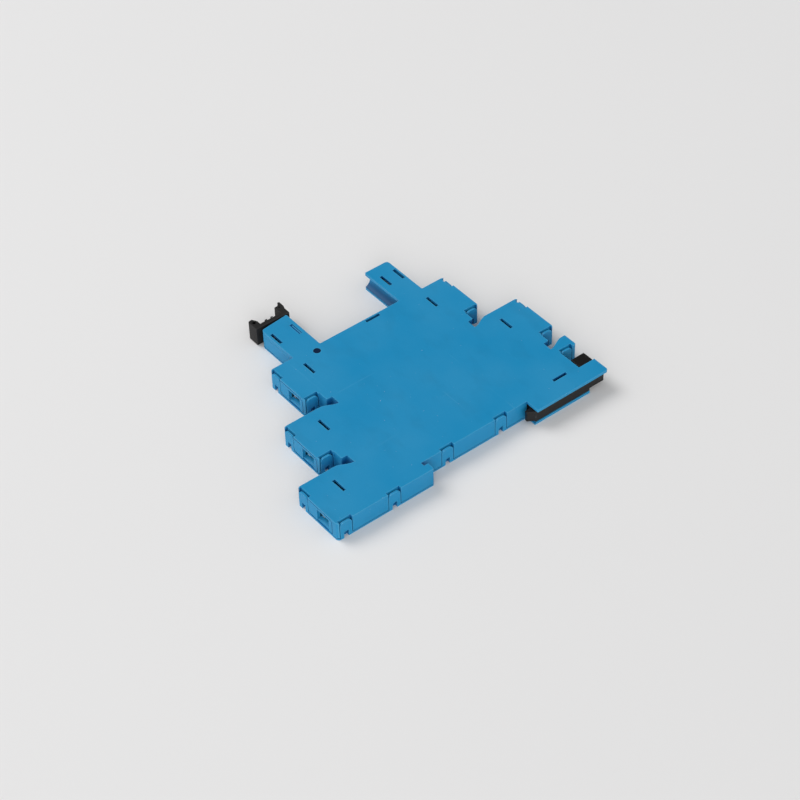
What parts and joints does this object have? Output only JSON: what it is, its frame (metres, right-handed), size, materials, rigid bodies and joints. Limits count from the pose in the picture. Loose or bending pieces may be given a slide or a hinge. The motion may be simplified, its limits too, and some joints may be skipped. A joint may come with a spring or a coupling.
{
  "type": "relay socket",
  "caption": "Slim DIN-rail relay socket: stepped two-part snap-fit housing with screw terminals on both sides, a sprung rail clip and a lever that retains the relay.",
  "frame": {"origin": "centre of the rail seat face, half-way through the socket's width", "axes": "+Y towards the relay (front), +X along the wall across the rail towards the clip, +Z through the socket's width, up as it lies on its side"},
  "size_m": [0.0929, 0.0811, 0.0062],
  "materials": {
    "housing": "blue moulded polyamide, fine eroded grain",
    "black_plastic": "black moulded polyamide",
    "spring_steel": "drawn spring wire",
    "contact_brass": "stamped strip, tin flashed",
    "cage_steel": "zinc plated",
    "screw_steel": "zinc plated",
    "board": "solder resist",
    "component_black": "moulded epoxy",
    "led_resin": "milky resin",
    "clear_plastic": "clear polycarbonate"
  },
  "bodies": {
    "housing": {"upper_shell": "housing", "lower_shell": "housing", "clip_spring": "spring_steel", "common_contact": "contact_brass", "open_contact": "contact_brass", "closed_contact": "contact_brass", "coil_contact_a": "contact_brass", "coil_contact_b": "contact_brass", "indicator_board": "board", "series_resistor": "component_black", "free_wheel_diode": "component_black", "status_led": "led_resin", "light_guide": "clear_plastic"},
    "clip_slider": {"rail_clip": "black_plastic"},
    "lever": {"retaining_lever": "black_plastic"},
    "screw_left_1_body": {"screw_left_1": "screw_steel"},
    "cage_left_1_body": {"cage_left_1": "cage_steel"},
    "screw_left_2_body": {"screw_left_2": "screw_steel"},
    "cage_left_2_body": {"cage_left_2": "cage_steel"},
    "screw_left_3_body": {"screw_left_3": "screw_steel"},
    "cage_left_3_body": {"cage_left_3": "cage_steel"},
    "screw_right_1_body": {"screw_right_1": "screw_steel"},
    "cage_right_1_body": {"cage_right_1": "cage_steel"},
    "screw_right_2_body": {"screw_right_2": "screw_steel"},
    "cage_right_2_body": {"cage_right_2": "cage_steel"}
  },
  "joints": [
    {"name": "clip_slide", "type": "slide", "parent": "housing", "child": "clip_slider", "axis": [1, 0, 0], "range_m": [0, 0.003], "stiffness_N_per_m": 1000, "springref_m": -0.001, "deforming": ["clip_spring"]},
    {"name": "lever_pivot", "type": "hinge", "parent": "housing", "child": "lever", "pos_m": [-0.0136, 0.0529, 0], "axis": [0, 0, 1], "range_deg": [0, 10]},
    {"name": "screw_left_1_turn", "type": "hinge", "parent": "housing", "child": "screw_left_1_body", "pos_m": [-0.0241, 0.0498, 0], "axis": [0, -1, 0], "range_deg": [0, 2240]},
    {"name": "cage_left_1_rise", "type": "slide", "parent": "housing", "child": "cage_left_1_body", "axis": [0, 1, 0], "range_m": [0, 0.0028]},
    {"name": "screw_left_2_turn", "type": "hinge", "parent": "housing", "child": "screw_left_2_body", "pos_m": [-0.0347, 0.0292, 0], "axis": [0, -1, 0], "range_deg": [0, 2240]},
    {"name": "cage_left_2_rise", "type": "slide", "parent": "housing", "child": "cage_left_2_body", "axis": [0, 1, 0], "range_m": [0, 0.0028]},
    {"name": "screw_left_3_turn", "type": "hinge", "parent": "housing", "child": "screw_left_3_body", "pos_m": [-0.0453, 0.0086, 0], "axis": [0, -1, 0], "range_deg": [0, 2240]},
    {"name": "cage_left_3_rise", "type": "slide", "parent": "housing", "child": "cage_left_3_body", "axis": [0, 1, 0], "range_m": [0, 0.0028]},
    {"name": "screw_right_1_turn", "type": "hinge", "parent": "housing", "child": "screw_right_1_body", "pos_m": [0.0288, 0.0498, 0], "axis": [0, -1, 0], "range_deg": [0, 2240]},
    {"name": "cage_right_1_rise", "type": "slide", "parent": "housing", "child": "cage_right_1_body", "axis": [0, 1, 0], "range_m": [0, 0.0028]},
    {"name": "screw_right_2_turn", "type": "hinge", "parent": "housing", "child": "screw_right_2_body", "pos_m": [0.039, 0.0292, 0], "axis": [0, -1, 0], "range_deg": [0, 2240]},
    {"name": "cage_right_2_rise", "type": "slide", "parent": "housing", "child": "cage_right_2_body", "axis": [0, 1, 0], "range_m": [0, 0.0028]}
  ],
  "couplings": [
    {"joint": "screw_left_1_turn", "follows": "cage_left_1_rise", "rad_per_m": 13963},
    {"joint": "screw_left_2_turn", "follows": "cage_left_2_rise", "rad_per_m": 13963},
    {"joint": "screw_left_3_turn", "follows": "cage_left_3_rise", "rad_per_m": 13963},
    {"joint": "screw_right_1_turn", "follows": "cage_right_1_rise", "rad_per_m": 13963},
    {"joint": "screw_right_2_turn", "follows": "cage_right_2_rise", "rad_per_m": 13963}
  ]
}
